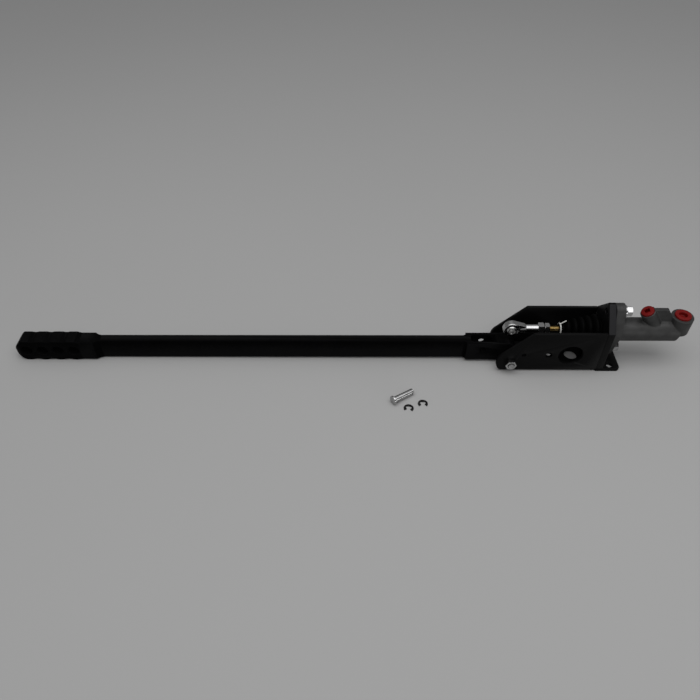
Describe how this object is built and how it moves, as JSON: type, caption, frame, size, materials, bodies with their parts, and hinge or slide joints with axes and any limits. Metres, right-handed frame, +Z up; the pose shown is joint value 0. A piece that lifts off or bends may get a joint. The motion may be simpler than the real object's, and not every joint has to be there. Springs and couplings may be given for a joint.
{
  "type": "hydraulic hand brake lever",
  "caption": "Long milled hand brake lever folded down in a folded steel bracket, with a pushrod, rod end, bellows boot and a cast master cylinder; its clevis pin is out.",
  "frame": {"origin": "on the bracket's underside, straight below the lever's pivot and on the bracket's middle plane", "axes": "+X along the object towards the master cylinder, with the folded lever running to -X; +Y across, away from the viewer of the picture; +Z up"},
  "size_m": [0.8922, 0.1323, 0.095],
  "materials": {
    "black_coated_steel": "satin black coating with a fine grain",
    "black_anodised_aluminium": "black anodised, milled, satin",
    "zinc_plated_steel": "bright zinc plate",
    "bare_steel": "bare bright steel",
    "black_oxide_steel": "black oxide",
    "yellow_zinc_steel": "yellow zinc plate",
    "cast_grey": "dark grey casting, fine sand grain",
    "bare_aluminium": "turned aluminium",
    "bronze": "sintered bronze",
    "red_plastic": "moulded red plastic",
    "white_nylon": "natural white nylon",
    "black_rubber": "matt black moulded rubber"
  },
  "bodies": {
    "frame": {"bracket_channel": "black_coated_steel", "cylinder_plate": "black_coated_steel", "master_cylinder_body": "cast_grey", "inlet_plug": "red_plastic", "outlet_plug": "red_plastic", "flange_bolt_lower": "zinc_plated_steel", "flange_bolt_upper": "zinc_plated_steel", "flange_washer_lower": "zinc_plated_steel", "flange_washer_upper": "zinc_plated_steel", "pivot_bolt": "zinc_plated_steel", "pivot_nut": "zinc_plated_steel", "side_spacer_near": "black_coated_steel", "side_spacer_far": "black_coated_steel", "circlip": "bare_steel", "stop_washer": "bare_steel", "valve_stem": "bare_steel", "valve_seal": "black_rubber", "valve_spacer": "bare_steel", "return_spring": "bare_steel", "dust_boot": "black_rubber", "clevis_pin": "zinc_plated_steel", "e_clip_1": "black_oxide_steel", "e_clip_2": "black_oxide_steel"},
    "lever": {"lever_arm": "black_anodised_aluminium", "pivot_bush_near": "bronze", "pivot_bush_far": "bronze"},
    "plunger": {"piston": "bare_aluminium", "rear_seal": "black_rubber", "front_cup": "black_rubber", "spring_thimble": "bare_steel", "pushrod": "yellow_zinc_steel", "jam_nut": "zinc_plated_steel", "rod_end_housing": "zinc_plated_steel", "boot_tie": "white_nylon"},
    "swivel_ball": {"rod_end_ball": "bare_steel"}
  },
  "joints": [
    {"name": "lever_swing", "type": "hinge", "parent": "frame", "child": "lever", "pos_m": [0, 0, 0.0162], "axis": [0, 1, 0], "range_deg": [0, 106]},
    {"name": "pushrod_slide", "type": "slide", "parent": "frame", "child": "plunger", "axis": [1, 0, 0], "range_m": [0, 0.015], "stiffness_N_per_m": 700, "springref_m": -0.023, "deforming": ["return_spring", "dust_boot"]},
    {"name": "rod_end_swivel", "type": "hinge", "parent": "plunger", "child": "swivel_ball", "pos_m": [0, 0, 0.0512], "axis": [0, 1, 0], "continuous": true}
  ]
}
